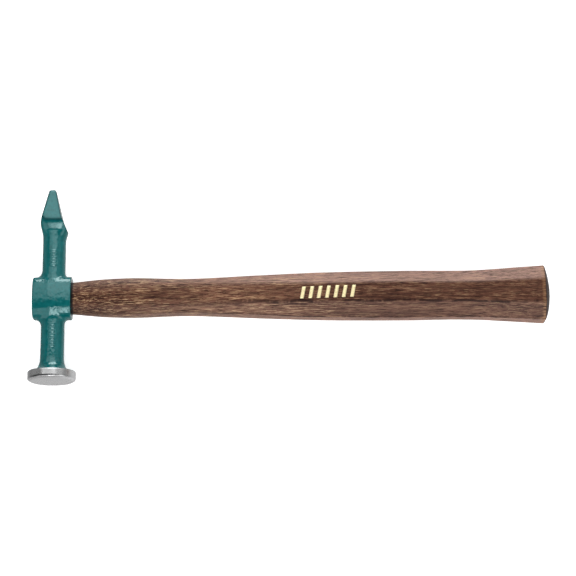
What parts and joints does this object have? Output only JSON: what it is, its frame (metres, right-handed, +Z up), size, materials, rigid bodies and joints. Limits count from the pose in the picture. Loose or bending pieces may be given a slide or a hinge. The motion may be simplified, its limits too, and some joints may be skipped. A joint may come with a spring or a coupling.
{
  "type": "panel beating hammer",
  "caption": "Hand hammer with a round flat striking face, a four-sided ground pick and an oval eye, wedged on a waisted eight-sided wooden handle with a flared butt.",
  "frame": {"origin": "centre of the flat striking face", "axes": "+X runs from the head along the handle to the butt; +Y runs up the head axis from the striking face to the pick; +Z is up, across the flat sides of the handle, with the hammer lying on its side"},
  "size_m": [0.3268, 0.1242, 0.03],
  "materials": {
    "teal_enamel": "semi-gloss enamel over forged steel",
    "ground_steel": "fine ground",
    "stained_hickory": "dark brown stain, open pores, satin",
    "wedge_wood": "sawn, unfinished",
    "gold_foil": "hot-stamped foil"
  },
  "bodies": {
    "root": {"head": "teal_enamel", "handle": "stained_hickory", "wood_wedge": "wedge_wood", "steel_wedge": "ground_steel"}
  },
  "joints": []
}
